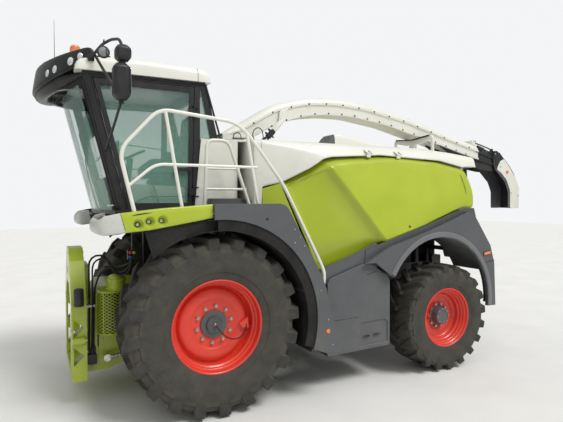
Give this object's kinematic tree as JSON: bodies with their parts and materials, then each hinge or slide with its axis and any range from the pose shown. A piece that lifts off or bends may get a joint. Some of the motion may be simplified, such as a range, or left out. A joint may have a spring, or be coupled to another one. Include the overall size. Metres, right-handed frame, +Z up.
{
  "type": "forage harvester",
  "caption": "Self-propelled forage harvester with intake unit, glazed cab, stairs, lime side lids, cream hood and a curved discharge spout folded to the rear.",
  "frame": {"origin": "on the ground, midway along, across the machine's whole outline", "axes": "+X to the rear along the machine, +Y to its right side, +Z up; it faces -X"},
  "size_m": [8.3, 3.44, 4.6903],
  "materials": {
    "black_paint": "satin",
    "axle_grey": "painted, matte",
    "engine_iron": "painted, matte",
    "channel_steel": "worn",
    "black_trim": "satin",
    "cab_glass": "green tint",
    "cream_paint": "gloss",
    "lime_paint": "gloss",
    "grey_panel": "satin",
    "seat_fabric": "woven",
    "amber_lens": "clear lens",
    "red_rim": "gloss",
    "tyre": "worn rubber",
    "rod_chrome": "polished"
  },
  "bodies": {
    "machine": {"chassis_frame": "black_paint", "body_brackets": "black_paint", "front_axle": "axle_grey", "rear_axle": "axle_grey", "engine_block": "engine_iron", "crop_channel": "channel_steel", "cab_shell": "black_trim", "cab_glass": "cab_glass", "cab_roof": "cream_paint", "roof_visor": "black_trim", "operator_seat": "seat_fabric", "platforms": "lime_paint", "stairs": "grey_panel", "handrails": "cream_paint", "arch_and_lower_panels": "grey_panel", "rear_fenders": "grey_panel", "stair_side_panels": "lime_paint", "upper_hood": "cream_paint", "mirrors": "black_trim", "beacon_and_aerial": "amber_lens"},
    "front_wheel_left": {"front_rim_left": "red_rim", "front_tyre_left": "tyre"},
    "knuckle_left": {"knuckle_left": "black_paint"},
    "rear_wheel_left": {"rear_rim_left": "red_rim", "rear_tyre_left": "tyre"},
    "side_lid_left": {"side_lid_left": "lime_paint"},
    "front_wheel_right": {"front_rim_right": "red_rim", "front_tyre_right": "tyre"},
    "knuckle_right": {"knuckle_right": "black_paint"},
    "rear_wheel_right": {"rear_rim_right": "red_rim", "rear_tyre_right": "tyre"},
    "side_lid_right": {"side_lid_right": "lime_paint"},
    "cab_door": {"cab_door": "black_trim", "door_glass": "cab_glass"},
    "spout_turret": {"spout_turret": "cream_paint"},
    "spout_arm": {"spout_arm": "cream_paint"},
    "spout_flap": {"spout_flap": "black_paint"},
    "spout_cylinder": {"spout_cylinder": "black_paint"},
    "spout_rod": {"spout_rod": "rod_chrome"},
    "intake": {"intake_housing": "lime_paint"},
    "coupling_frame": {"coupling_frame": "lime_paint"},
    "upper_feed_roller": {"upper_feed_roller": "channel_steel"},
    "lower_feed_roller": {"lower_feed_roller": "channel_steel"},
    "lift_cylinders": {"lift_cylinders": "black_paint"},
    "lift_rods": {"lift_rods": "rod_chrome"}
  },
  "joints": [
    {"name": "front_wheel_left_spin", "type": "hinge", "parent": "machine", "child": "front_wheel_left", "pos_m": [-2.39, -1.225, 0.985], "axis": [0, 1, 0], "continuous": true},
    {"name": "steer_left", "type": "hinge", "parent": "machine", "child": "knuckle_left", "pos_m": [0.91, -1.05, 0.728], "axis": [0, 0, 1], "range_deg": [-35, 35]},
    {"name": "rear_wheel_left_spin", "type": "hinge", "parent": "knuckle_left", "child": "rear_wheel_left", "pos_m": [0.91, -1.345, 0.728], "axis": [0, 1, 0], "continuous": true},
    {"name": "side_lid_left_swing", "type": "hinge", "parent": "machine", "child": "side_lid_left", "pos_m": [0.06, -1.283, 2.962], "axis": [-1, 0, 0], "range_deg": [0, 60]},
    {"name": "front_wheel_right_spin", "type": "hinge", "parent": "machine", "child": "front_wheel_right", "pos_m": [-2.39, 1.225, 0.985], "axis": [0, 1, 0], "continuous": true},
    {"name": "steer_right", "type": "hinge", "parent": "machine", "child": "knuckle_right", "pos_m": [0.91, 1.05, 0.728], "axis": [0, 0, 1], "range_deg": [-35, 35]},
    {"name": "rear_wheel_right_spin", "type": "hinge", "parent": "knuckle_right", "child": "rear_wheel_right", "pos_m": [0.91, 1.345, 0.728], "axis": [0, 1, 0], "continuous": true},
    {"name": "side_lid_right_swing", "type": "hinge", "parent": "machine", "child": "side_lid_right", "pos_m": [0.06, 1.283, 2.962], "axis": [1, 0, 0], "range_deg": [0, 60]},
    {"name": "cab_door_swing", "type": "hinge", "parent": "machine", "child": "cab_door", "pos_m": [-2.435, -0.885, 2.9], "axis": [0, 0, 1], "range_deg": [0, 30]},
    {"name": "spout_slew", "type": "hinge", "parent": "machine", "child": "spout_turret", "pos_m": [-1.59, 0, 3.15], "axis": [0, 0, 1], "range_deg": [-105, 105]},
    {"name": "spout_lift", "type": "hinge", "parent": "spout_turret", "child": "spout_arm", "pos_m": [-1.79, 0, 3.245], "axis": [0, -1, 0], "range_deg": [0, 25]},
    {"name": "spout_flap_tilt", "type": "hinge", "parent": "spout_arm", "child": "spout_flap", "pos_m": [3.49, 0, 3.19], "axis": [0, -1, 0], "range_deg": [-15, 35]},
    {"name": "spout_ram_swing", "type": "hinge", "parent": "spout_turret", "child": "spout_cylinder", "pos_m": [-1.21, -0.245, 3.205], "axis": [0, -1, 0], "range_deg": [0, 35.1]},
    {"name": "spout_ram_stroke", "type": "slide", "parent": "spout_cylinder", "child": "spout_rod", "axis": [0.6752, 0, 0.7377], "range_m": [0, 0.237]},
    {"name": "intake_lift", "type": "hinge", "parent": "machine", "child": "intake", "pos_m": [-2.59, 0, 1], "axis": [0, 1, 0], "range_deg": [-5, 12]},
    {"name": "coupling_tilt", "type": "hinge", "parent": "intake", "child": "coupling_frame", "pos_m": [-3.709, 0, 1.5], "axis": [1, 0, 0], "range_deg": [-3, 3]},
    {"name": "upper_feed_spin", "type": "hinge", "parent": "intake", "child": "upper_feed_roller", "pos_m": [-3.39, 0, 0.96], "axis": [0, 1, 0], "continuous": true},
    {"name": "lower_feed_spin", "type": "hinge", "parent": "intake", "child": "lower_feed_roller", "pos_m": [-3.39, 0, 0.56], "axis": [0, 1, 0], "continuous": true},
    {"name": "intake_ram_swing", "type": "hinge", "parent": "machine", "child": "lift_cylinders", "pos_m": [-2.685, 0, 0.6], "axis": [0, 1, 0], "range_deg": [-6, 14]},
    {"name": "intake_ram_stroke", "type": "slide", "parent": "lift_cylinders", "child": "lift_rods", "axis": [-0.9904, 0, -0.1385], "range_m": [-0.035, 0.083]}
  ],
  "couplings": [
    {"joint": "steer_right", "follows": "steer_left", "ratio": 1},
    {"joint": "spout_ram_swing", "follows": "spout_lift", "ratio": 1.4},
    {"joint": "spout_ram_stroke", "follows": "spout_lift", "m_per_rad": 0.54},
    {"joint": "intake_ram_swing", "follows": "intake_lift", "ratio": 1.16},
    {"joint": "intake_ram_stroke", "follows": "intake_lift", "m_per_rad": 0.39}
  ]
}
